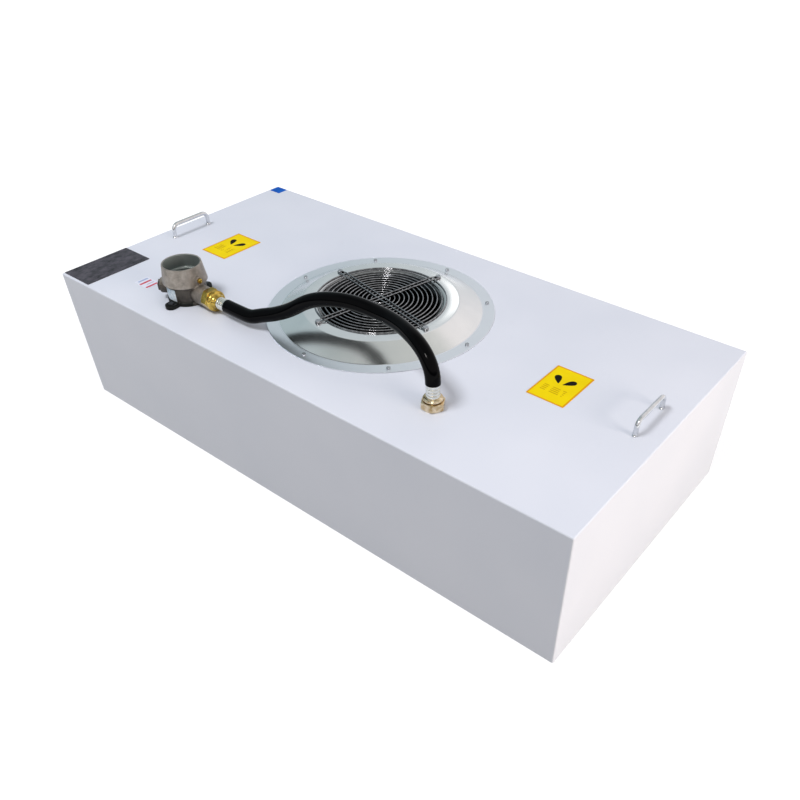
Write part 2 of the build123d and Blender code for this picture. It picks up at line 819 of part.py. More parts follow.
with BuildPart() as guard_screws:
    with BuildSketch(Plane.XY.offset(ring_flat + wire)):
        with PolarLocations(foot_radius, foot_count, start_angle=strut_turn):
            Circle(guard_head_radius)
    extrude(amount=guard_head_height)
    with BuildSketch(Plane.XY.offset(ring_flat + wire - guard_screw_length)):
        with PolarLocations(foot_radius, foot_count, start_angle=strut_turn):
            Circle(guard_screw_radius)
    extrude(amount=guard_screw_length)
finish(guard_screws, "guard_screws")

# ---------------------------------------------------------------- handles
handle_axis = panel_top + handle_height - handle_bar / 2
for side, handle_name in ((-1, "handle_left"), (1, "handle_right")):
    with BuildPart() as handle:
        with BuildLine(Plane.YZ.offset(side * handle_offset)):
            FilletPolyline(
                (-handle_span / 2, panel_top),
                (-handle_span / 2, handle_axis),
                (handle_span / 2, handle_axis),
                (handle_span / 2, panel_top),
                radius=handle_bend,
            )
        with BuildSketch(Plane.XY.offset(panel_top)):
            with Locations((side * handle_offset, -handle_span / 2)):
                Circle(handle_bar / 2)
        sweep()
        with BuildSketch(Plane.XY.offset(panel_top)):
            with Locations(*[(side * handle_offset, end * handle_span / 2) for end in (-1, 1)]):
                Ellipse(handle_foot_width / 2, handle_foot_length / 2)
        extrude(amount=handle_foot_height)
        with BuildSketch(Plane.XY.offset(panel_top)):
            with Locations(*[(side * handle_offset, end * handle_span / 2) for end in (-1, 1)]):
                Circle(handle_screw_radius + screw_gap)
        extrude(amount=handle_screw_grip + screw_gap, mode=Mode.SUBTRACT)
    finish(handle, handle_name)

with BuildPart() as handle_screws:
    with BuildSketch(Plane.XY.offset(panel_under)):
        with Locations(handle_spots):
            hexagon(handle_screw_flats)
    extrude(amount=-handle_screw_head)
    with BuildSketch(Plane.XY.offset(panel_under)):
        with Locations(handle_spots):
            Circle(handle_screw_radius)
    extrude(amount=sheet + handle_screw_grip)
finish(handle_screws, "handle_screws")

# ---------------------------------------------------------------- junction box
box_base = Plane((box_x, box_y, panel_top))
hub_plane = Plane(origin=(box_x, box_y, conduit_level), x_dir=(0, 1, 0), z_dir=(1, 0, 0))
stub_direction = (cos(radians(stub_turn)), sin(radians(stub_turn)), 0)
stub_plane = Plane(origin=(box_x, box_y, panel_top + stub_height), x_dir=(0, 0, 1), z_dir=stub_direction)
lug_direction = (cos(radians(lug_turn)), sin(radians(lug_turn)), 0)
lug_plane = Plane(origin=(box_x, box_y, panel_top + lug_height), x_dir=(0, 0, 1), z_dir=lug_direction)
with BuildPart() as junction_box_body:
    with BuildSketch(Plane((box_x, box_y, panel_top), x_dir=(1, 0, 0), z_dir=(0, -1, 0))):
        with BuildLine():
            Polyline(
                (0, 0),
                (box_foot_radius, 0),
                (box_foot_radius, box_foot_height),
                (box_body_radius, box_foot_height),
                (box_body_radius, box_collar_bottom - box_collar_chamfer),
                (box_collar_radius, box_collar_bottom),
                (box_mouth_radius, box_height),
                (0, box_height),
                close=True,
            )
        make_face()
    revolve(axis=Axis((box_x, box_y, 0), (0, 0, 1)))
    # ears, outlet hub, stub port and earth lug
    with BuildSketch(box_base):
        with Locations(Location((0, 0, 0), (0, 0, ear_turn))):
            SlotCenterToCenter(2 * ear_distance, 2 * ear_radius)
    extrude(amount=box_foot_height)
    with BuildSketch(hub_plane):
        Circle(hub_radius)
    extrude(amount=hub_reach)
    with BuildSketch(stub_plane):
        Circle(stub_radius)
    extrude(amount=stub_reach)
    with BuildSketch(lug_plane):
        Circle(lug_width / 2)
    extrude(amount=lug_reach)
    # web that ties the lug to the hub
    with BuildSketch(Plane((box_x, box_y, conduit_level))):
        Rectangle(lug_reach - web_step, web_width, align=(Align.MIN, Align.CENTER))
    extrude(amount=lug_height - conduit_height)
    # cavity, mouth bore, outlet bore, stub bore, earth screw hole and ear holes
    with BuildSketch(box_base.offset(box_floor)):
        Circle(box_cavity_radius)
    extrude(amount=box_height - box_floor, mode=Mode.SUBTRACT)
    with BuildSketch(box_base.offset(box_height - box_bore_depth)):
        Circle(box_bore_radius)
    extrude(amount=box_bore_depth, mode=Mode.SUBTRACT)
    with BuildSketch(hub_plane):
        Circle(port_bore_radius)
    extrude(amount=hub_reach, mode=Mode.SUBTRACT)
    with BuildSketch(stub_plane):
        Circle(plug_radius + thread_gap)
    extrude(amount=stub_reach, mode=Mode.SUBTRACT)
    with BuildSketch(lug_plane.offset(lug_reach - earth_screw_grip - screw_gap)):
        Circle(earth_screw_radius + screw_gap)
    extrude(amount=earth_screw_grip + screw_gap, mode=Mode.SUBTRACT)
    with BuildSketch(Plane.XY.offset(panel_top)):
        with Locations(ear_spots):
            Circle(ear_screw_radius + screw_gap)
    extrude(amount=box_foot_height, mode=Mode.SUBTRACT)
finish(junction_box_body, "junction_box_body")

with BuildPart() as junction_box_screws:
    with BuildSketch(Plane.XY.offset(panel_top + box_foot_height)):
        with Locations(ear_spots):
            hexagon(ear_screw_flats)
    extrude(amount=ear_screw_head)
    with BuildSketch(Plane.XY.offset(panel_top + box_foot_height - ear_screw_length)):
        with Locations(ear_spots):
            Circle(ear_screw_radius)
    extrude(amount=ear_screw_length)
finish(junction_box_screws, "junction_box_screws")

with BuildPart() as blanking_plug:
    with BuildSketch(stub_plane.offset(stub_reach - plug_grip)):
        Circle(plug_radius)
    extrude(amount=plug_grip)
    with BuildSketch(stub_plane.offset(stub_reach)):
        hexagon(plug_flats)
    extrude(amount=plug_head)
finish(blanking_plug, "blanking_plug")

with BuildPart() as earth_screw:
    with BuildSketch(lug_plane.offset(lug_reach - earth_screw_grip)):
        Circle(earth_screw_radius)
    extrude(amount=earth_screw_grip)
    with BuildSketch(lug_plane.offset(lug_reach)):
        Circle(earth_head_radius)
        Rectangle(earth_slot, 2 * earth_head_radius, mode=Mode.SUBTRACT)
    extrude(amount=earth_head_height)
    with BuildSketch(lug_plane.offset(lug_reach)):
        Circle(earth_head_radius)
    extrude(amount=earth_head_height / 2)
finish(earth_screw, "earth_screw")

# Terminal block on the floor of the box, with a row of wells for its screws
block_level = box_floor
well_spots = [((well - (terminal_count - 1) / 2) * terminal_pitch, 0) for well in range(terminal_count)]
with BuildPart() as terminal_block:
    with BuildSketch(box_base.offset(block_level)):
        Rectangle(terminal_count * terminal_pitch + 2 * terminal_wall, terminal_depth)
    extrude(amount=terminal_height)
    with BuildSketch(box_base.offset(block_level + terminal_height - terminal_well)):
        with Locations(well_spots):
            Circle(terminal_well_radius)
    extrude(amount=terminal_well, mode=Mode.SUBTRACT)
finish(terminal_block, "terminal_block")

with BuildPart() as terminal_screws:
    with BuildSketch(box_base.offset(block_level + terminal_height - terminal_well)):
        with Locations(well_spots):
            Circle(terminal_well_radius - seat_gap)
    extrude(amount=terminal_screw_height)
finish(terminal_screws, "terminal_screws")

# ---------------------------------------------------------------- conduit fittings on the box
with BuildPart() as box_union_nut:
    add(nut_blank(union_flats, union_length).moved(hub_plane.offset(hub_reach).location))
    with BuildSketch(hub_plane.offset(hub_reach)):
        Circle(port_bore_radius)
    extrude(amount=union_length, mode=Mode.SUBTRACT)
finish(box_union_nut, "box_union_nut")

union_end = hub_reach + union_length
with BuildPart() as box_union_ring:
    with BuildSketch(hub_plane.offset(union_end)):
        Circle(collar_radius)
    extrude(amount=collar_length)
    chamfer(box_union_ring.edges().filter_by(GeomType.CIRCLE), collar_round)
    with BuildSketch(hub_plane.offset(union_end)):
        Circle(ferrule_bore)
    extrude(amount=collar_length, mode=Mode.SUBTRACT)
finish(box_union_ring, "box_union_ring")

ferrule_start = box_x + union_end + collar_length
with BuildPart() as box_ferrule:
    with BuildSketch(hub_plane.offset(union_end + collar_length)):
        Circle(ferrule_radius)
        Circle(ferrule_bore, mode=Mode.SUBTRACT)
    extrude(amount=conduit_start_x - ferrule_start)
finish(box_ferrule, "box_ferrule")

# ---------------------------------------------------------------- conduit fittings on the panel
gland_base = Plane((gland_x, gland_y, panel_top))
panel_collar_level = panel_nut_height + panel_collar_height
with BuildPart() as panel_gland:
    add(nut_blank(union_flats, panel_nut_height).moved(gland_base.location))
    with BuildSketch(gland_base):
        Circle(nipple_radius)
    extrude(amount=-nipple_reach)
    with BuildSketch(gland_base.offset(-nipple_reach)):
        Circle(ferrule_bore)
    extrude(amount=nipple_reach + panel_nut_height, mode=Mode.SUBTRACT)
finish(panel_gland, "panel_gland")

with BuildPart() as panel_collar:
    with BuildSketch(gland_base.offset(panel_nut_height)):
        Circle(panel_collar_radius)
    extrude(amount=panel_collar_height)
    chamfer(panel_collar.edges().filter_by(GeomType.CIRCLE), panel_collar_round)
    with BuildSketch(gland_base.offset(panel_nut_height)):
        Circle(ferrule_bore)
    extrude(amount=panel_collar_height, mode=Mode.SUBTRACT)
finish(panel_collar, "panel_collar")

with BuildPart() as panel_ferrule:
    with BuildSketch(gland_base.offset(panel_collar_level)):
        Circle(ferrule_radius)
        Circle(ferrule_bore, mode=Mode.SUBTRACT)
    extrude(amount=panel_ferrule_top - panel_collar_level)
finish(panel_ferrule, "panel_ferrule")

with BuildPart() as panel_locknut:
    with BuildSketch(gland_base.offset(-sheet)):
        hexagon(locknut_flats)
        Circle(nipple_radius + thread_gap, mode=Mode.SUBTRACT)
    extrude(amount=-locknut_height)
finish(panel_locknut, "panel_locknut")

# ---------------------------------------------------------------- conduit
route = [Vector(x, y, panel_top + rise) for x, y, rise in conduit_route]
runs = [(b - a).length for a, b in zip(route, route[1:])]
turns = [(b - a).get_angle(c - b) for a, b, c in zip(route, route[1:], route[2:])]
bends = [0.45 * min(a, b) / tan(radians(turn) / 2) for a, b, turn in zip(runs, runs[1:], turns)]
print("conduit bend radii", [round(bend) for bend in bends])
with BuildPart() as conduit_hose:
    with BuildLine() as conduit_line:
        FilletPolyline(*route, radius=bends)
    with BuildSketch(Plane(route[0], z_dir=(1, 0, 0))):
        Circle(conduit_radius)
    sweep()
conduit_length = conduit_line.wire().length
print("conduit length", conduit_length, "volume", conduit_hose.part.volume)
print("section x length", pi * conduit_radius**2 * conduit_length)
finish(conduit_hose, "conduit_hose")

# ---------------------------------------------------------------- labels and plates
flat_pieces = {
    "yellow_label_left": (left_label_x, left_label_y, label_length, label_width, film),
    "yellow_label_right": (right_label_x, right_label_y, label_length, label_width, film),
    "dark_plate": (
        (plate_length - casing_length) / 2 + plate_inset_x,
        (plate_width - casing_width) / 2 + plate_inset_y,
        plate_length,
        plate_width,
        plate_sheet,
    ),
    "seal_sticker": (tag_x, tag_y, tag_length, tag_width, film),
    "corner_tab": (
        (tab_length - casing_length) / 2 + tab_inset_x,
        (casing_width - tab_width) / 2 - tab_inset_y,
        tab_length,
        tab_width,
        film,
    ),
}
for flat_name, (flat_x, flat_y, flat_length, flat_width, thickness) in flat_pieces.items():
    with BuildPart() as flat_piece:
        with BuildSketch(Plane.XY.offset(panel_top)):
            with Locations((flat_x, flat_y)):
                RectangleRounded(flat_length, flat_width, flat_corner)
        extrude(amount=thickness)
    finish(flat_piece, flat_name)

# Foil sticker wrapped on the side of the junction box
with BuildPart() as box_sticker:
    with BuildSketch(box_base.offset(foil_bottom)):
        Circle(box_body_radius + film)
        Circle(box_body_radius, mode=Mode.SUBTRACT)
        with BuildLine():
            foil_start = PolarLine((0, 0), 2 * box_body_radius, foil_turn - foil_arc / 2)
            foil_end = PolarLine((0, 0), 2 * box_body_radius, foil_turn + foil_arc / 2)
            Line(foil_start @ 1, foil_end @ 1)
        make_face(mode=Mode.INTERSECT)
    extrude(amount=foil_height)
finish(box_sticker, "box_sticker")
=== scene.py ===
"""Fan filter unit: surfaces, finishes, light and camera over the fixed CAD frame, in metres."""

import bmesh
import bpy
import numpy as np
from mathutils import Matrix


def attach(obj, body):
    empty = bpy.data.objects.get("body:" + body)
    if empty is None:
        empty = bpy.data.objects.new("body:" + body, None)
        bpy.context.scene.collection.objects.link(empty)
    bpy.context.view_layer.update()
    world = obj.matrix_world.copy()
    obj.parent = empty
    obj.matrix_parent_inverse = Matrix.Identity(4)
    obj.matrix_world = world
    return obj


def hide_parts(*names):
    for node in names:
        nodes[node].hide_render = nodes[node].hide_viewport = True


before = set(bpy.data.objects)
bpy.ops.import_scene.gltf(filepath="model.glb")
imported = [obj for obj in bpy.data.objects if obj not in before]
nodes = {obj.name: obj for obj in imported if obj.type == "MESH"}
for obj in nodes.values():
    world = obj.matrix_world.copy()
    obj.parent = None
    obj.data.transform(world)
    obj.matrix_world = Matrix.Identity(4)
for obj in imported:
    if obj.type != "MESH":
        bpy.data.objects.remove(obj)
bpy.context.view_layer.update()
scene = bpy.context.scene
MM = 0.001

# ---------------------------------------------------------------- camera
camera_data = bpy.data.cameras.new("camera")
camera = bpy.data.objects.new("camera", camera_data)
scene.collection.objects.link(camera)
scene.camera = camera
camera_data.sensor_width = 36
camera_data.lens = 34.50
camera_data.shift_x = -0.05625
camera_data.shift_y = 0.13125
camera_data.clip_end = 50
across = np.array((0.78687, 0.61710, 0.00566))
upward = np.array((-0.42741, 0.53832, 0.72631))
standpoint = np.array((878.4, -935.9, 988.1)) * MM
view = np.eye(4)
view[:3] = np.stack([across, upward, np.cross(across, upward), standpoint], axis=1)
camera.matrix_world = Matrix(view.tolist())

# ---------------------------------------------------------------- sizes shared with the frame, mm
panel_top = 275.0
inlet_flat = 296.5
cone_outer, cone_inner = 187.0, 145.0
bar_top = panel_top + 26.5
bend_radius, bend_reach = 12.0, 32.0
union_start, union_end = -251.0, -236.0
bore_edge = 33.4
gland_x, gland_y = 264.0, -176.0
box_x, box_y = -314.0, -191.0
conduit_radius = 12.5
ferrule_radius = 11.5
route = [
    (-200.0, box_y, 20.0),
    (-164.0, box_y, 20.0),
    (-138.0, -190.0, 20.0),
    (-118.0, -182.5, 27.0),
    (-88.5, -173.5, 36.0),
    (-56.0, -164.0, 52.0),
    (-21.5, -155.5, 77.0),
    (21.0, -145.5, 91.0),
    (67.0, -133.5, 94.5),
    (124.0, -130.0, 91.5),
    (168.5, -140.5, 95.0),
    (209.0, -157.5, 97.0),
    (236.5, -167.5, 91.0),
    (254.5, -173.0, 76.5),
    (gland_x, gland_y, 57.0),
    (gland_x, gland_y, 44.0),
]


# ---------------------------------------------------------------- making materials
def linear(code):
    """sRGB hex to linear red, green, blue and alpha."""
    parts = np.array([int(code[i : i + 2], 16) for i in (1, 3, 5)]) / 255
    low = parts / 12.92
    high = ((parts + 0.055) / 1.055) ** 2.4
    return (*np.where(parts <= 0.04045, low, high), 1.0)


def add(tree, kind, inputs=None, **settings):
    """Adds a node, sets its properties, and sets or links each named or numbered input."""
    made = tree.nodes.new(kind)
    for key, value in settings.items():
        setattr(made, key, value)
    for key, value in (inputs or {}).items():
        if isinstance(value, bpy.types.NodeSocket):
            tree.links.new(value, made.inputs[key])
        else:
            made.inputs[key].default_value = value
    return made


def finish_of(name, **surface):
    """A new material with its Principled shader, and the shader's plain sockets set."""
    material = bpy.data.materials.new(name)
    material.use_nodes = True
    tree = material.node_tree
    shader = tree.nodes["Principled BSDF"]
    for key, value in surface.items():
        socket = shader.inputs[key.replace("_", " ").title().replace("Ior", "IOR")]
        socket.default_value = linear(value) if isinstance(value, str) else value
    where = add(tree, "ShaderNodeTexCoord").outputs["Object"]
    return material, tree, shader, where


def wear(tree, shader, where, grain_mm, colours, rough, depth, stretch=(1, 1, 1), detail=4):
    """Ties colour, roughness and bump to one noise whose grain is grain_mm across; returns the colour."""
    spread = add(tree, "ShaderNodeMapping", {"Vector": where, "Scale": stretch})
    noise = add(
        tree,
        "ShaderNodeTexNoise",
        {"Vector": spread.outputs[0], "Scale": 1000 / grain_mm, "Detail": detail, "Roughness": 0.6},
    )
    ramp = add(tree, "ShaderNodeValToRGB", {"Fac": noise.outputs["Fac"]})
    ramp.color_ramp.elements[0].position = 0.3
    ramp.color_ramp.elements[1].position = 0.7
    ramp.color_ramp.elements[0].color = linear(colours[0])
    ramp.color_ramp.elements[1].color = linear(colours[1])
    tree.links.new(ramp.outputs[0], shader.inputs["Base Color"])
    sheen = add(
        tree,
        "ShaderNodeMapRange",
        {
            "Value": noise.outputs["Fac"],
            "From Min": 0.3,
            "From Max": 0.7,
            "To Min": rough[0],
            "To Max": rough[1],
        },
    )
    tree.links.new(sheen.outputs[0], shader.inputs["Roughness"])
    bump = add(
        tree,
        "ShaderNodeBump",
        {"Height": noise.outputs["Fac"], "Strength": 1.0, "Distance": depth * MM},
    )
    tree.links.new(bump.outputs[0], shader.inputs["Normal"])
    return ramp.outputs[0]


# ---------------------------------------------------------------- making surfaces
def quads(points, around=False, along=False):
    """Faces between neighbours of a grid of points, closed round its columns or its rows.

    Signed volume, the sum of each face's corner dotted with its cross product, tells which way
    they point, and a negative one turns them round."""
    rows, columns = points.shape[:2]
    index = np.arange(rows * columns).reshape(rows, columns)
    index = np.hstack([index, index[:, :1]]) if around else index
    index = np.vstack([index, index[:1]]) if along else index
    faces = np.stack([index[:-1, :-1], index[:-1, 1:], index[1:, 1:], index[1:, :-1]], axis=-1).reshape(-1, 4)
    flat = points.reshape(-1, 3)
    a, b, c, d = (flat[faces[:, i]] for i in range(4))
    volume = np.sum(a * np.cross(b, c)) + np.sum(a * np.cross(c, d))
    return flat, faces if volume > 0 else faces[:, ::-1]


def shown(name, mesh, material, crease, join):
    """An object from a mesh: corners within join metres merged, shaded smooth up to the crease angle."""
    work = bmesh.new()
    work.from_mesh(mesh)
    bmesh.ops.remove_doubles(work, verts=work.verts, dist=join)
    work.to_mesh(mesh)
    work.free()
    mesh.materials.clear()
    mesh.materials.append(material)
    mesh.shade_smooth()
    mesh.set_sharp_from_angle(angle=np.radians(crease))
    made = bpy.data.objects.new(name, mesh)
    scene.collection.objects.link(made)
    return made


def piece(name, grids, material, body, replaced=(), crease=35):
    """One object from several grids of points in mm, on a body, in place of the nodes it replaces."""
    corners, faces, start = [], [], 0
    for flat, quad in grids:
        corners.append(flat)
        faces.append(quad + start)
        start += len(flat)
    mesh = bpy.data.meshes.new(name)
    mesh.from_pydata((np.vstack(corners) * MM).tolist(), [], np.vstack(faces).tolist())
    made = shown(name, mesh, material, crease, join=1e-7)
    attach(made, body)
    if replaced:
        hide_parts(*replaced)
    return made


def revolved(profile, origin=(0, 0, 0), axis=(0, 0, 1), start=(1, 0, 0), steps=96):
    """A closed profile of (radius, height) carried once round an axis:
    origin + radius cos t * start + radius sin t * side + height * axis."""
    profile = np.asarray(profile, float)
    axis = np.asarray(axis, float)
    start = np.asarray(start, float)
    side = np.cross(axis, start)
    t = np.linspace(0, 2 * np.pi, steps, endpoint=False)
    spoke = np.cos(t)[None, :, None] * start + np.sin(t)[None, :, None] * side
    points = np.asarray(origin, float) + profile[:, 0, None, None] * spoke + profile[:, 1, None, None] * axis
    return quads(points, around=True, along=True)


def swept(path, radius, side, closed=False, steps=16):
    """A round section carried along a path: path + radius (cos t * side + sin t * up), where up
    is tangent x side. Open ends are closed by rows that shrink to the path's last points."""
    path = np.asarray(path, float)
    step = np.roll(path, -1, 0) - np.roll(path, 1, 0) if closed else np.gradient(path, axis=0)
    tangent = step / np.linalg.norm(step, axis=1, keepdims=True)
    side = np.broadcast_to(np.asarray(side, float), path.shape)
    side = side - np.sum(side * tangent, axis=1, keepdims=True) * tangent
    side = side / np.linalg.norm(side, axis=1, keepdims=True)
    up = np.cross(tangent, side)
    radius = np.broadcast_to(np.asarray(radius, float), len(path))
    t = np.linspace(0, 2 * np.pi, steps, endpoint=False)
    section = np.cos(t)[None, :, None] * side[:, None] + np.sin(t)[None, :, None] * up[:, None]
    points = path[:, None] + radius[:, None, None] * section
    if not closed:
        points = np.concatenate([points[:1] * 0 + path[0], points, points[:1] * 0 + path[-1]])
    return quads(points, around=True, along=closed)


def arc(centre, radius, first, last, count=12):
    """Points on a circle from one angle to another, in degrees."""
    t = np.radians(np.linspace(first, last, count))
    return np.stack([centre[0] + radius * np.cos(t), centre[1] + radius * np.sin(t)], axis=1)


def hexagon_nut(flats, length, bore, origin, axis, start, dent=0.0, steps=120):
    """A hexagon whose corners are turned off at both ends: the radius at angle t and height h is
    the lesser of flats/2 / cos(t mod 60 - 30 degrees) and a cone that widens by 1.7 per unit of h."""
    t = np.radians(np.arange(steps) * 360 / steps)
    six = flats / 2 / np.cos(np.mod(t, np.pi / 3) - np.pi / 6)
    lift = np.array([0, 0.4, 0.8, 1.2, 1.6, 2.2, 3.0])
    height = np.concatenate([lift, length - lift[::-1]])
    gap = np.minimum(height, length - height)
    rim = np.minimum(six[None, :], (flats / 2 - 0.6 + 1.7 * gap)[:, None])
    rim = np.vstack([np.full((1, steps), bore), rim, np.full((1, steps), bore)])
    height = np.concatenate([[dent], height, [length - dent]])
    axis = np.asarray(axis, float)
    start = np.asarray(start, float)
    side = np.cross(axis, start)
    spoke = np.cos(t)[None, :, None] * start + np.sin(t)[None, :, None] * side
    points = np.asarray(origin, float) + rim[:, :, None] * spoke + height[:, None, None] * axis
    return quads(points, around=True, along=True)


def rounded_copy(name, node, material, body, voxel=None, crease=35):
    """A merged copy of a node's mesh, shaded smooth, or remeshed so that its edges soften as cast."""
    made = shown(name, nodes[node].data.copy(), material, crease, join=2e-6)
    if voxel:
        melt = made.modifiers.new("melt", "REMESH")
        melt.mode = "VOXEL"
        melt.voxel_size = voxel * MM
        melt.use_smooth_shade = True
        ease = made.modifiers.new("ease", "SMOOTH")
        ease.factor = 0.5
        ease.iterations = 3
    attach(made, body)
    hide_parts(node)
    return made


def patch(tree, where, centre, half, turn=0, drop=False):
    """1 inside a rectangle or a drop on a level face, by centre and half sizes in mm: the point is
    moved to the centre, turned and divided by the half sizes, then the greater of its two sizes is
    compared with 1, or for a drop the length of (x / (0.7 + 0.45 y), y)."""
    local = add(
        tree,
        "ShaderNodeMapping",
        {
            "Vector": where,
            "Location": (centre[0] * MM, centre[1] * MM, panel_top * MM),
            "Rotation": (0, 0, np.radians(turn)),
            "Scale": (half[0] * MM, half[1] * MM, 1000),
        },
        vector_type="TEXTURE",
    )
    if drop:
        part = add(tree, "ShaderNodeSeparateXYZ", {0: local.outputs[0]})
        taper = add(tree, "ShaderNodeMath", {0: part.outputs[1], 1: 0.45, 2: 0.7}, operation="MULTIPLY_ADD")
        across = add(tree, "ShaderNodeMath", {0: part.outputs[0], 1: taper.outputs[0]}, operation="DIVIDE")
        shape = add(tree, "ShaderNodeCombineXYZ", {0: across.outputs[0], 1: part.outputs[1]})
        size = add(tree, "ShaderNodeVectorMath", {0: shape.outputs[0]}, operation="LENGTH").outputs["Value"]
    else:
        whole = add(tree, "ShaderNodeVectorMath", {0: local.outputs[0]}, operation="ABSOLUTE")
        split = add(tree, "ShaderNodeSeparateXYZ", {0: whole.outputs[0]})
        size = add(tree, "ShaderNodeMath", {0: split.outputs[0], 1: split.outputs[1]}, operation="MAXIMUM")
        size = size.outputs[0]
    return add(tree, "ShaderNodeMath", {0: size, 1: 1.0}, operation="LESS_THAN").outputs[0]


def over(tree, mask, below, above, blend="MIX"):
    """The colour above, or its product with the one below, where the mask is 1; elsewhere the one below."""
    mix = add(tree, "ShaderNodeMix", {"Factor": mask}, data_type="RGBA", blend_type=blend)
    for key, value in ((6, below), (7, above)):
        if isinstance(value, bpy.types.NodeSocket):
            tree.links.new(value, mix.inputs[key])
        else:
            mix.inputs[key].default_value = linear(value)
    return mix.outputs[2]


def banded(tree, value, low, high, stops):
    """A colour ramp over a value between low and high, from (value, colour) stops."""
    place = add(tree, "ShaderNodeMapRange", {"Value": value, "From Min": low, "From Max": high})
    node = add(tree, "ShaderNodeValToRGB", {"Fac": place.outputs[0]})
    ramp = node.color_ramp
    for stop, code in stops:
        ramp.elements.new(min(max((stop - low) / (high - low), 0.001), 0.999)).color = linear(code)
    ramp.elements.remove(ramp.elements[0])
    ramp.elements.remove(ramp.elements[-1])
    return node.outputs[0]


# ---------------------------------------------------------------- materials
# Polyester powder coat, sprayed and baked: a satin white with a fine orange-peel ripple
powder_coat, tree, shader, where = finish_of("white_powder_coat", roughness=0.34)
wear(tree, shader, where, 260, ("#D3D6DD", "#DADCE2"), (0.32, 0.38), 0.0, detail=2)
peel = add(tree, "ShaderNodeTexNoise", {"Vector": where, "Scale": 1000 / 2.2, "Detail": 2})
ripple = add(tree, "ShaderNodeBump", {"Height": peel.outputs["Fac"], "Strength": 0.5, "Distance": 0.03 * MM})
tree.links.new(ripple.outputs[0], shader.inputs["Normal"])

# Aluminium sheet, spun and buffed: bright, with faint rings from the spinning tool every 3 mm
spun, tree, shader, where = finish_of("spun_aluminium", metallic=1.0, roughness=0.16)
tint = wear(tree, shader, where, 70, ("#ECEEEF", "#F7F8F8"), (0.08, 0.13), 0.0, detail=3)
level_place = add(tree, "ShaderNodeVectorMath", {0: where, 1: (1, 1, 0)}, operation="MULTIPLY")
reach = add(tree, "ShaderNodeVectorMath", {0: level_place.outputs[0]}, operation="LENGTH").outputs["Value"]
# outside the cone the flange keeps a bluish, duller finish
out = add(
    tree,
    "ShaderNodeMapRange",
    {"Value": reach, "From Min": (cone_outer - 1) * MM, "From Max": (cone_outer + 1) * MM},
)
film = over(tree, out.outputs[0], tint, "#F1F5FB")
sheen = shader.inputs["Roughness"].links[0].from_socket
flange_dulling, cone_dulling = 0.10, 0.12
dull = add(tree, "ShaderNodeMath", {0: out.outputs[0], 1: flange_dulling, 2: sheen}, operation="MULTIPLY_ADD")
# the flat inside the cone is buffed brighter than the cone
buffed = add(
    tree,
    "ShaderNodeMapRange",
    {"Value": reach, "From Min": (cone_inner - 2) * MM, "From Max": (cone_inner + 1) * MM},
)
dull = add(
    tree,
    "ShaderNodeMath",
    {0: buffed.outputs[0], 1: cone_dulling, 2: dull.outputs[0]},
    operation="MULTIPLY_ADD",
)
tree.links.new(dull.outputs[0], shader.inputs["Roughness"])
# painted shade: the throat, inside 110 to 122 mm, where the bell mouth turns down into the fan, is painted
# dark grey
throat_painted_shade = add(tree, "ShaderNodeMapRange", {"Value": reach, "From Min": 110 * MM, "From Max": 122 * MM})
tree.links.new(over(tree, throat_painted_shade.outputs[0], "#2C2E31", film), shader.inputs["Base Color"])
tool_step = 3.0 * MM
turning = add(tree, "ShaderNodeMath", {0: reach, 1: 2 * np.pi / tool_step}, operation="MULTIPLY")
lines = add(tree, "ShaderNodeMath", {0: turning.outputs[0]}, operation="SINE")
ripple = add(tree, "ShaderNodeBump", {"Height": lines.outputs[0], "Strength": 0.35, "Distance": 0.004 * MM})
tree.links.new(ripple.outputs[0], shader.inputs["Normal"])

# Drawn steel wire, nickel plated: bright with a little bloom
wire_plate, tree, shader, where = finish_of("nickel_plated_wire", metallic=1.0, roughness=0.2)
wear(tree, shader, where, 6, ("#66686C", "#B0B2B5"), (0.07, 0.15), 0.002)

# Chrome-plated steel bar, polished: mirror bright with fine handling marks
chrome, tree, shader, where = finish_of("polished_chrome", metallic=1.0, roughness=0.07)
wear(tree, shader, where, 9, ("#C9CCD0", "#E2E4E6"), (0.05, 0.12), 0.002)

# Nickel-plated brass ferrule: pale, slightly yellow, crimped
ferrule_plate, tree, shader, where = finish_of("nickel_plated_brass", metallic=1.0, roughness=0.22)
wear(tree, shader, where, 5, ("#D2D4CC", "#F1F2EE"), (0.1, 0.2), 0.002)

# Yellow-passivated zinc on a turned steel nut: bright gold, clouded with brown
gold_zinc, tree, shader, where = finish_of("yellow_passivated_zinc", metallic=1.0, roughness=0.2)
wear(tree, shader, where, 14, ("#7A5E1A", "#EBCB68"), (0.07, 0.18), 0.002)

# Thinner passivation on the panel gland: straw-coloured, almost bare zinc
pale_zinc, tree, shader, where = finish_of("pale_passivated_zinc", metallic=1.0, roughness=0.24)
wear(tree, shader, where, 8, ("#B2945F", "#F3E6CC"), (0.08, 0.2), 0.002)

# Sand-cast aluminium, bead blasted: warm grey, with a fine pitted skin
cast, tree, shader, where = finish_of("sand_cast_aluminium", metallic=0.7, roughness=0.45)
skin = wear(tree, shader, where, 14, ("#7C766F", "#B0A9A0"), (0.38, 0.52), 0.0, detail=5)
pits = add(tree, "ShaderNodeTexNoise", {"Vector": where, "Scale": 1000 / 1.8, "Detail": 3})
ripple = add(tree, "ShaderNodeBump", {"Height": pits.outputs["Fac"], "Strength": 1.0, "Distance": 0.1 * MM})
tree.links.new(ripple.outputs[0], shader.inputs["Normal"])
# the body is darker below 36 mm over the panel, and almost black below 7 mm at its foot
split = add(tree, "ShaderNodeSeparateXYZ", {0: where})
height = add(tree, "ShaderNodeMath", {0: split.outputs[2], 1: panel_top * MM}, operation="SUBTRACT")
height_darkening = banded(
    tree,
    height.outputs[0],
    0,
    70 * MM,
    ((7 * MM, "#303433"), (11 * MM, "#7A7A79"), (33 * MM, "#8C8B89"), (37 * MM, "#FFFFFF")),
)
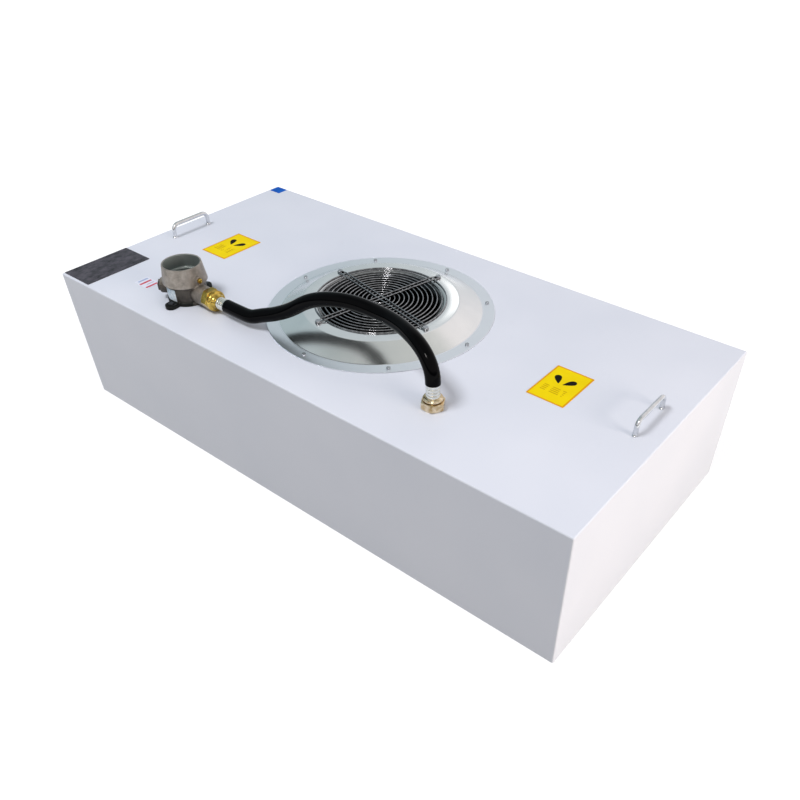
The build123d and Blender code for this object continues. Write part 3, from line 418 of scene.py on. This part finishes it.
# the hub, from 36 mm beside the box's axis toward +X, is kept near the skin's own tone
centred = add(tree, "ShaderNodeVectorMath", {0: where, 1: (box_x * MM, box_y * MM, 0)}, operation="SUBTRACT")
sector = add(tree, "ShaderNodeSeparateXYZ", {0: centred.outputs[0]})
hub = add(tree, "ShaderNodeMapRange", {"Value": sector.outputs[0], "From Min": 33 * MM, "From Max": 39 * MM})
height_darkening = over(tree, hub.outputs[0], height_darkening, "#E2DFDB")
height_darkening = over(tree, 1.0, skin, height_darkening, "MULTIPLY")
# the bore is machined and greyer than the skin
level_place = add(tree, "ShaderNodeVectorMath", {0: centred.outputs[0], 1: (1, 1, 0)}, operation="MULTIPLY")
reach = add(tree, "ShaderNodeVectorMath", {0: level_place.outputs[0]}, operation="LENGTH")
inner = add(tree, "ShaderNodeMath", {0: reach.outputs["Value"], 1: bore_edge * MM}, operation="LESS_THAN")
tree.links.new(over(tree, inner.outputs[0], height_darkening, "#949B98"), shader.inputs["Base Color"])

# Flexible conduit with an extruded PVC sheath: black, glossy, faintly wavy over its winding
sheath, tree, shader, where = finish_of("black_pvc_sheath", roughness=0.12, specular_ior_level=0.06)
wear(tree, shader, where, 22, ("#010102", "#030304"), (0.06, 0.12), 0.12, detail=3)

# Blackened screws and glands
black_steel, tree, shader, where = finish_of("blackened_steel", metallic=0.8, roughness=0.42)
wear(tree, shader, where, 4, ("#3A3C40", "#5E6064"), (0.35, 0.5), 0.01)

# Bright zinc on fasteners
bright_zinc, tree, shader, where = finish_of("bright_zinc", metallic=1.0, roughness=0.3)
wear(tree, shader, where, 5, ("#9EA1A6", "#C9CCD0"), (0.24, 0.4), 0.01)

# Hot-dip galvanised sheet: grey spangle about 8 mm across
galvanised, tree, shader, where = finish_of("galvanised_sheet", metallic=0.9, roughness=0.42)
spangle = add(tree, "ShaderNodeTexVoronoi", {"Vector": where, "Scale": 1000 / 8})
ramp = add(tree, "ShaderNodeValToRGB", {"Fac": spangle.outputs["Color"]})
ramp.color_ramp.elements[0].color = linear("#8E9296")
ramp.color_ramp.elements[1].color = linear("#B4B8BC")
tree.links.new(ramp.outputs[0], shader.inputs["Base Color"])

# Anodised aluminium channel, drawn along its length
anodised, tree, shader, where = finish_of("anodised_aluminium", metallic=0.9, roughness=0.36)
wear(tree, shader, where, 3, ("#B4B7BA", "#CACDCF"), (0.3, 0.42), 0.004, stretch=(0.05, 0.05, 1))

# Glass-fibre filter paper: matt white felt with a fine fibre grain
paper, tree, shader, where = finish_of("glass_fibre_paper", roughness=0.95)
wear(tree, shader, where, 2, ("#DEDED8", "#F1F1EC"), (0.9, 1.0), 0.1, detail=6)

# White enamelled face guard
enamel, tree, shader, where = finish_of("white_enamel", roughness=0.38)
wear(tree, shader, where, 40, ("#E0E1E2", "#EBECEC"), (0.34, 0.44), 0.0)

# Neoprene foam
foam, tree, shader, where = finish_of("neoprene_foam", roughness=0.9)
wear(tree, shader, where, 1.5, ("#17181A", "#2A2B2D"), (0.8, 0.95), 0.1)

# Black stove enamel on the motor's rotor
motor_enamel, tree, shader, where = finish_of("black_stove_enamel", roughness=0.4)
wear(tree, shader, where, 12, ("#0E0F10", "#1A1B1D"), (0.34, 0.5), 0.05)

# Mill-finish aluminium of the impeller, painted almost black: painted shade for the dark inside of the fan
mill, tree, shader, where = finish_of("mill_finish_aluminium", metallic=0.9, roughness=0.34)
wear(tree, shader, where, 30, ("#1A1C1E", "#303336"), (0.3, 0.5), 0.0)

# Die-cast motor flange
die_cast, tree, shader, where = finish_of("die_cast_aluminium", metallic=0.85, roughness=0.48)
wear(tree, shader, where, 6, ("#84878A", "#A5A8AA"), (0.4, 0.55), 0.05)

# Ground steel of shaft and bearings
ground, tree, shader, where = finish_of("ground_steel", metallic=1.0, roughness=0.25)
wear(tree, shader, where, 2, ("#8B8E92", "#AEB1B5"), (0.2, 0.32), 0.004, stretch=(1, 1, 0.1))

# Laminated core: oxidised edges every half millimetre of height
laminated, tree, shader, where = finish_of("oxidised_laminations", metallic=0.7, roughness=0.5)
wear(tree, shader, where, 1.0, ("#3A3C3F", "#6A6D70"), (0.45, 0.6), 0.02, stretch=(0.05, 0.05, 1))

# Varnished copper
copper, tree, shader, where = finish_of("varnished_copper", metallic=0.9, roughness=0.35)
wear(tree, shader, where, 1.6, ("#7A3A1C", "#B4653A"), (0.28, 0.42), 0.05, stretch=(1, 1, 0.3))

# Black phenolic moulding
phenolic, tree, shader, where = finish_of("black_phenolic", roughness=0.45)
wear(tree, shader, where, 5, ("#0C0C0D", "#171718"), (0.4, 0.52), 0.02)


def printed_label(name, centre):
    """Yellow vinyl film with a thin orange edge, two dark drops and rows of plain bars."""
    material, tree, shader, where = finish_of(name, roughness=0.5, specular_ior_level=0.06)
    x, y = centre
    inside = patch(tree, where, (x, y), (32.0, 46.5))
    tone = add(tree, "ShaderNodeTexNoise", {"Vector": where, "Scale": 1000 / 40})
    ramp = add(tree, "ShaderNodeValToRGB", {"Fac": tone.outputs["Fac"]})
    ramp.color_ramp.elements[0].color = linear("#E0C200")
    ramp.color_ramp.elements[1].color = linear("#F2D802")
    colour = over(tree, inside, "#D89A10", ramp.outputs[0])
    # rows of bars half as high as their pitch, broken by a coarse noise and thinly inked
    pitch, ink = 4.8 * MM, 0.6
    split = add(tree, "ShaderNodeSeparateXYZ", {0: where})
    wave = add(tree, "ShaderNodeMath", {0: split.outputs[1], 1: 2 * np.pi / pitch}, operation="MULTIPLY")
    rows = add(tree, "ShaderNodeMath", {0: wave.outputs[0]}, operation="SINE")
    rows = add(tree, "ShaderNodeMath", {0: rows.outputs[0], 1: 0.0}, operation="GREATER_THAN")
    level = add(tree, "ShaderNodeMapping", {"Vector": where, "Scale": (1, 0.1, 1)})
    words = add(tree, "ShaderNodeTexNoise", {"Vector": level.outputs[0], "Scale": 1000 / 7})
    gaps = add(tree, "ShaderNodeMath", {0: words.outputs["Fac"], 1: 0.44}, operation="GREATER_THAN")
    block = patch(tree, where, (x - 3, y - 17.5), (21.0, 10.5))
    bars = add(tree, "ShaderNodeMath", {0: rows.outputs[0], 1: gaps.outputs[0]}, operation="MULTIPLY")
    bars = add(tree, "ShaderNodeMath", {0: bars.outputs[0], 1: block}, operation="MULTIPLY")
    bars = add(tree, "ShaderNodeMath", {0: bars.outputs[0], 1: ink}, operation="MULTIPLY")
    colour = over(tree, bars.outputs[0], colour, "#A87A00")
    for dx, dy, lean in ((-13.0, 14.0, 31), (9.0, 13.5, -38)):
        mark = patch(tree, where, (x + dx, y + dy), (7.6, 12.5), lean, drop=True)
        colour = over(tree, mark, colour, "#0E0D08")
    tree.links.new(colour, shader.inputs["Base Color"])
    return material


yellow_left = printed_label("yellow_vinyl_film_left", (-421.0, 3.0))
yellow_right = printed_label("yellow_vinyl_film_right", (390.0, -3.0))

# Dark anodised plate, mottled with paler streaks 8 mm long
dark_anodised, tree, shader, where = finish_of(
    "dark_anodised_plate", metallic=0.4, roughness=0.4, specular_ior_level=0.2
)
wear(tree, shader, where, 8, ("#1B1B1F", "#67636B"), (0.4, 0.56), 0.01, stretch=(1, 0.5, 1), detail=9)

# White vinyl with two printed red bars, a pale blue one and a short mauve one
white_vinyl, tree, shader, where = finish_of("white_vinyl_film", roughness=0.42)
colour = "#E2E3EC"
for centre, half, ink in (
    ((-427, -207), (2.6, 13), "#C62F42"),
    ((-408, -207), (2.4, 13), "#C62F42"),
    ((-438, -205), (2.4, 11), "#9FADCB"),
    ((-417.5, -203), (1.6, 8), "#C2B6C4"),
):
    colour = over(tree, patch(tree, where, centre, half), colour, ink)
tree.links.new(colour, shader.inputs["Base Color"])

# Silvery foil with pale blue print
foil, tree, shader, where = finish_of("printed_foil", metallic=0.3, roughness=0.3)
wear(tree, shader, where, 7, ("#8FB0C0", "#EDF1F3"), (0.25, 0.4), 0.01, detail=5)

# Blue masking film
blue_film, tree, shader, where = finish_of("blue_film", roughness=0.5, specular_ior_level=0.05)
wear(tree, shader, where, 12, ("#004AA6", "#0660BE"), (0.4, 0.5), 0.01)

# ---------------------------------------------------------------- conduit
curve = bpy.data.curves.new("conduit_sheath", "CURVE")
curve.dimensions = "3D"
spline = curve.splines.new("NURBS")
spline.points.add(len(route) - 1)
controls = np.array(route) + (0, 0, panel_top)
spline.points.foreach_set("co", np.hstack([controls * MM, np.ones((len(route), 1))]).ravel())
spline.order_u = 3
spline.use_endpoint_u = True
spline.resolution_u = 16
curve.bevel_depth = conduit_radius * MM
curve.bevel_resolution = 8
curve.use_fill_caps = True
curve.materials.append(sheath)
conduit = bpy.data.objects.new("conduit_sheath", curve)
scene.collection.objects.link(conduit)
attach(conduit, "housing")
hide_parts("conduit_hose")

# ---------------------------------------------------------------- inlet ring
def fold(before, corner, after, count=7):
    """Points of a curve that leaves one line and joins the next:
    (1 - t)^2 before + 2 t (1 - t) corner + t^2 after."""
    t = np.linspace(0, 1, count)[:, None]
    return (1 - t) ** 2 * np.array(before) + 2 * t * (1 - t) * np.array(corner) + t**2 * np.array(after)


# Section of the spun sheet: flange, straight cone, flat, bell mouth and throat
sheet, rim, throat, bell_radius = 1.5, 209.4, 102.0, 22.0
flange_top = panel_top + sheet
face = np.vstack(
    [
        [(rim, flange_top), (198.0, flange_top)],
        fold((188.6, flange_top), (cone_outer, flange_top), (185.5, 277.2)),
        [(166.0, 286.5)],
        fold((146.6, 295.7), (cone_inner, inlet_flat), (143.2, inlet_flat)),
        [(134.0, inlet_flat)],
        arc((throat + bell_radius, inlet_flat - bell_radius), bell_radius, 90, 180, 14),
        [(throat, 262.0), (throat, 245.2)],
    ]
)
slope = np.gradient(face, axis=0)
slope = slope / np.linalg.norm(slope, axis=1, keepdims=True)
under = (face + sheet * np.stack([-slope[:, 1], slope[:, 0]], axis=1))[::-1]
under[-1] = (rim, panel_top + 0.05)
ring_section = np.vstack([face, under, [(210.0, 275.6), (210.0, 276.1)]])
piece("spun_inlet_ring", [revolved(ring_section, steps=240)], spun, "housing", ["inlet_ring"], 30)

# ---------------------------------------------------------------- wire guard
# Thirteen rings of round wire, and two double struts whose ends step down to the ring and close in an eye
wire = 1.2
ring_radii = 17.0 + 8.65 * np.arange(13)
grids = [revolved(arc((radius, inlet_flat + wire), wire, 0, 315, 8), steps=128) for radius in ring_radii]
run = np.linspace(-126.0, 126.0, 43)
eye = np.radians(np.linspace(-90, 90, 17))
half = 4.5
tip = 134.0 + half * np.cos(eye)
bend = half * np.sin(eye)
# just before each eye the strut steps down to the ring along the smooth curve 3 u^2 - 2 u^3
loop_x = np.concatenate([run, [130.0], tip, [130.0], run[::-1], [-130.0], -tip, [-130.0]])
loop_y = np.concatenate([run * 0 - half, [-half], bend, [half], run * 0 + half, [half], -bend, [-half]])
step_start, step_length, step_height = 123.5, 4.5, 2.0
drop = np.clip((np.abs(loop_x) - step_start) / step_length, 0, 1)
drop = drop * drop * (3 - 2 * drop)
loop_z = inlet_flat + wire + step_height * (1 - drop)
strut_turns = (-13.0, 77.0)
for turn in strut_turns:
    c, s = np.cos(np.radians(turn)), np.sin(np.radians(turn))
    path = np.stack([c * loop_x - s * loop_y, s * loop_x + c * loop_y, loop_z], axis=1)
    grids.append(swept(path, wire, (0, 0, 1), closed=True, steps=10))
piece("guard_wires", grids, wire_plate, "housing", ["wire_guard"], 60)

# ---------------------------------------------------------------- handles
# Bar 8 mm thick: up, over and down round 12 mm bends, with a foot that flares along the bar
bar = 4.0
turn_level = bar_top - bend_radius
grip_x = 546.0
foot_y = bend_reach + bend_radius
for sign, name in ((-1, "left"), (1, "right")):
    x = sign * grip_x
    rise = np.linspace(panel_top + 0.2, turn_level, 10)
    corner = arc((-bend_reach, turn_level), bend_radius, 180, 90, 14)
    flat = np.linspace(-30.0, 30.0, 13)
    y = np.concatenate([rise * 0 - foot_y, corner[:, 0], flat, -corner[::-1, 0], rise * 0 + foot_y])
    z = np.concatenate([rise, corner[:, 1], flat * 0 + bar_top, corner[::-1, 1], rise[::-1]])
    bow = swept(np.stack([y * 0 + x, y, z], axis=1), bar, (1, 0, 0), steps=24)
    feet = []
    for end in (-1, 1):
        # foot: an oval whose half length eases from 6 to 4 mm over its height, with a rolled edge
        lift = np.array([0.0, 0.3, 0.9, 1.4, 1.8, 2.0, 3.0, 5.0])
        long = np.array([5.7, 6.0, 6.0, 5.9, 5.6, 5.1, 4.4, 4.0])
        wide = np.array([4.3, 4.5, 4.5, 4.45, 4.4, 4.3, 4.1, 4.0])
        t = np.linspace(0, 2 * np.pi, 32, endpoint=False)
        shape = np.stack(
            [
                x + wide[:, None] * np.cos(t),
                end * foot_y + long[:, None] * np.sin(t),
                panel_top + lift[:, None] + 0 * t,
            ],
            axis=-1,
        )
        centre = np.array((x, end * foot_y, panel_top))
        top = centre + (0, 0, lift[-1])
        shape = np.concatenate([shape[:1] * 0 + centre, shape, shape[:1] * 0 + top])
        feet.append(quads(shape, around=True))
    piece("grip_" + name, [bow, *feet], chrome, "housing", ["handle_" + name], 50)

# ---------------------------------------------------------------- conduit fittings
conduit_level = panel_top + route[0][2]
collar_length = 16.0
on_hub = dict(axis=(1, 0, 0), start=(0, 1, 0))
piece(
    "union_nut",
    [
        hexagon_nut(
            36.0, union_end - union_start, 12.0, (union_start, box_y, conduit_level), dent=0.8, **on_hub
        )
    ],
    gold_zinc,
    "housing",
    ["box_union_nut"],
    30,
)
bead = np.vstack(
    [
        [(9.0, 0.0), (16.5, 0.0)],
        arc((14.5, 5.0), 5.0, -60, 80, 14),
        [(13.0, 13.0), (12.6, collar_length), (9.0, collar_length)],
    ]
)
piece(
    "union_collar",
    [revolved(bead, origin=(union_end, box_y, conduit_level), **on_hub)],
    gold_zinc,
    "housing",
    ["box_union_ring"],
    30,
)


def crimped(length):
    """Section of a ferrule: a straight sleeve with three rolled grooves 0.7 mm deep and round lips."""
    along = np.linspace(0, length, 49)
    groove = np.exp(-(((along[:, None] - length * np.array((0.25, 0.5, 0.75))) / 1.1) ** 2)).sum(axis=1)
    lip = np.minimum(along, length - along)
    outer = ferrule_radius - 0.7 * groove - 0.8 * np.exp(-lip / 0.4)
    return np.vstack([[(8.5, 0.0)], np.stack([outer, along], axis=1), [(8.5, length)]])


piece(
    "box_sleeve",
    [revolved(crimped(20.0), origin=(union_end + collar_length, box_y, conduit_level), **on_hub)],
    ferrule_plate,
    "housing",
    ["box_ferrule"],
    40,
)
piece(
    "panel_sleeve",
    [revolved(crimped(24.0), origin=(gland_x, gland_y, panel_top + 20.0))],
    ferrule_plate,
    "housing",
    ["panel_ferrule"],
    40,
)
piece(
    "gland_nut",
    [
        hexagon_nut(36.0, 13.6, 12.0, (gland_x, gland_y, panel_top + 0.2), (0, 0, 1), (1, 0, 0), dent=0.6),
        revolved([(8.5, 0.1), (12.0, 0.1), (12.0, -14.0), (8.5, -14.0)], origin=(gland_x, gland_y, panel_top)),
    ],
    pale_zinc,
    "housing",
    ["panel_gland"],
    30,
)
bead = np.vstack([[(8.5, 0.0), (14.6, 0.0)], arc((14.0, 3.0), 2.5, -60, 60, 10), [(13.6, 6.0), (8.5, 6.0)]])
piece(
    "gland_bead",
    [revolved(bead, origin=(gland_x, gland_y, panel_top + 14.0))],
    pale_zinc,
    "housing",
    ["panel_collar"],
    30,
)

# ---------------------------------------------------------------- junction box
rounded_copy("box_casting", "junction_box_body", cast, "housing", voxel=0.8)
rounded_copy("stub_plug", "blanking_plug", cast, "housing", crease=30)

# ---------------------------------------------------------------- finishes of the frame's own pieces
finishes = {
    "casing": powder_coat,
    "filter_seat_frame": galvanised,
    "filter_frame": anodised,
    "filter_media": paper,
    "filter_gasket": foam,
    "outlet_grille": enamel,
    "clamp_studs": bright_zinc,
    "filter_clamps": galvanised,
    "clamp_nuts": bright_zinc,
    "motor_bridge": galvanised,
    "bridge_bolts": bright_zinc,
    "bridge_nuts": bright_zinc,
    "motor_base": die_cast,
    "motor_bolts": bright_zinc,
    "lower_bearing": ground,
    "upper_bearing": ground,
    "motor_shaft": ground,
    "stator_core": laminated,
    "stator_winding": copper,
    "motor_rotor": motor_enamel,
    "impeller_back_plate": mill,
    "impeller_shroud": mill,
    "rotor_screws": bright_zinc,
    "flange_screws": bright_zinc,
    "guard_screws": bright_zinc,
    "handle_screws": bright_zinc,
    "junction_box_screws": black_steel,
    "terminal_block": phenolic,
    "terminal_screws": bright_zinc,
    "earth_screw": gold_zinc,
    "panel_locknut": pale_zinc,
    "yellow_label_left": yellow_left,
    "yellow_label_right": yellow_right,
    "dark_plate": dark_anodised,
    "seal_sticker": white_vinyl,
    "box_sticker": foil,
    "corner_tab": blue_film,
}
finishes.update({"impeller_blade_" + str(number): mill for number in range(1, 8)})
for name, material in finishes.items():
    for holder in nodes[name].material_slots:
        holder.material = material

# ---------------------------------------------------------------- floor, sky and lamps
floor_mesh = bpy.data.meshes.new("floor")
floor_mesh.from_pydata([(-9, -9, 0), (9, -9, 0), (9, 9, 0), (-9, 9, 0)], [], [(0, 1, 2, 3)])
floor = bpy.data.objects.new("floor", floor_mesh)
scene.collection.objects.link(floor)
ground_paint = bpy.data.materials.new("matt_white_floor")
ground_paint.use_nodes = True
tree = ground_paint.node_tree
shader = tree.nodes["Principled BSDF"]
shader.inputs["Base Color"].default_value = linear("#8C8C8C")
shader.inputs["Roughness"].default_value = 0.9
shader.inputs["Specular IOR Level"].default_value = 0.0
# What the camera, metal and glass see of the floor is lifted to white, with its shadow kept
rays = add(tree, "ShaderNodeLightPath")
seen = rays.outputs["Is Camera Ray"]
for kind in ("Is Glossy Ray", "Is Transmission Ray"):
    seen = add(tree, "ShaderNodeMath", {0: seen, 1: rays.outputs[kind]}, operation="MAXIMUM").outputs[0]
where = add(tree, "ShaderNodeTexCoord").outputs["Object"]
spread = add(tree, "ShaderNodeVectorMath", {0: where}, operation="LENGTH")
lift = add(
    tree,
    "ShaderNodeMapRange",
    {"Value": spread.outputs["Value"], "From Min": 0.9, "From Max": 1.7, "To Min": 0.82, "To Max": 1.0},
)
glow = add(tree, "ShaderNodeMath", {0: seen, 1: lift.outputs[0]}, operation="MULTIPLY")
shader.inputs["Emission Color"].default_value = (1, 1, 1, 1)
tree.links.new(glow.outputs[0], shader.inputs["Emission Strength"])
floor_mesh.materials.append(ground_paint)

world = bpy.data.worlds.new("studio")
scene.world = world
world.use_nodes = True
tree = world.node_tree
tree.nodes.clear()
way = add(tree, "ShaderNodeTexCoord").outputs["Generated"]
split = add(tree, "ShaderNodeSeparateXYZ", {0: way})

# What metal and glass mirror is a pale studio, from greenish on the left to rosy on the right
sides = banded(tree, split.outputs[0], -1, 1, ((-0.80, "#A9B8BC"), (-0.25, "#E8E6E8"), (0.20, "#F8F2F0")))
# greyer overhead, and dark at the near walls by the horizon
near = add(
    tree,
    "ShaderNodeMapRange",
    {"Value": split.outputs[1], "From Min": 0, "From Max": 0.6, "To Max": 0.2},
)
rise = add(tree, "ShaderNodeMath", {0: split.outputs[2], 1: near.outputs[0]}, operation="ADD")
walls = banded(tree, rise.outputs[0], 0, 1.2, ((0.01, "#4A5054"), (0.10, "#8E9498"), (0.20, "#FFFFFF")))
ceiling = banded(tree, split.outputs[2], 0, 1, ((0.76, "#FFFFFF"), (0.86, "#D0D6D3")))
shade = over(tree, 1.0, sides, walls, "MULTIPLY")
shade = over(tree, 1.0, shade, ceiling, "MULTIPLY")
# a white light panel at the back, 4 degrees wide
panel = add(tree, "ShaderNodeVectorMath", {0: way, 1: (-0.525, 0.708, 0.472)}, operation="DOT_PRODUCT")
panel = add(
    tree,
    "ShaderNodeMapRange",
    {"Value": panel.outputs["Value"], "From Min": 0.9990, "From Max": 0.9997},
)
shade = add(
    tree,
    "ShaderNodeMix",
    {"Factor": panel.outputs[0], 6: shade, 7: (1.5, 1.5, 1.5, 1)},
    data_type="RGBA",
)
# one small bright lamp overhead, about 10 degrees wide
toward = add(tree, "ShaderNodeVectorMath", {0: way, 1: (0.252, -0.580, 0.775)}, operation="DOT_PRODUCT")
spot = add(
    tree,
    "ShaderNodeMapRange",
    {"Value": toward.outputs["Value"], "From Min": 0.994, "From Max": 0.998, "To Min": 1.0, "To Max": 40.0},
)
mirrored = add(tree, "ShaderNodeBackground", {"Color": shade.outputs[2], "Strength": spot.outputs[0]})
# what lights the object is brighter and bluer from behind than from the front
daylight = banded(tree, split.outputs[1], -1, 1, ((-0.6, "#D4D4D4"), (0.6, "#E3EAFA")))
soft = add(tree, "ShaderNodeBackground", {"Color": daylight, "Strength": 0.60})
white = add(tree, "ShaderNodeBackground", {"Color": (1, 1, 1, 1), "Strength": 1.0})
rays = add(tree, "ShaderNodeLightPath")
glossy = add(
    tree,
    "ShaderNodeMath",
    {0: rays.outputs["Is Glossy Ray"], 1: rays.outputs["Is Transmission Ray"]},
    operation="MAXIMUM",
)
first = add(tree, "ShaderNodeMixShader", {0: glossy.outputs[0], 1: soft.outputs[0], 2: mirrored.outputs[0]})
seen = rays.outputs["Is Camera Ray"]
second = add(tree, "ShaderNodeMixShader", {0: seen, 1: first.outputs[0], 2: white.outputs[0]})
add(tree, "ShaderNodeOutputWorld", {0: second.outputs[0]})


def lamp(name, toward, distance, size, power, colour):
    """A soft rectangular lamp at that distance along a direction from the casing's top, facing it."""
    data = bpy.data.lights.new(name, "AREA")
    data.shape = "RECTANGLE"
    data.size, data.size_y = size
    data.energy = power
    data.color = linear(colour)[:3]
    made = bpy.data.objects.new(name, data)
    scene.collection.objects.link(made)
    back = np.asarray(toward, float) / np.linalg.norm(toward)
    right = np.cross((0, 0, 1), back)
    right = right / np.linalg.norm(right)
    place = np.eye(4)
    place[:3, 0], place[:3, 1], place[:3, 2] = right, np.cross(back, right), back
    place[:3, 3] = back * distance + (0, 0, panel_top * MM)
    made.matrix_world = Matrix(place.tolist())
    made.visible_glossy = False


lamp("key", (-0.2, -0.5, 1.0), 3.6, (1.3, 0.8), 82, "#F6F8FF")
lamp("end_fill", (1.0, -0.05, 0.22), 3.4, (1.6, 1.0), 81, "#FFF3EA")

scene.view_settings.view_transform = "Standard"
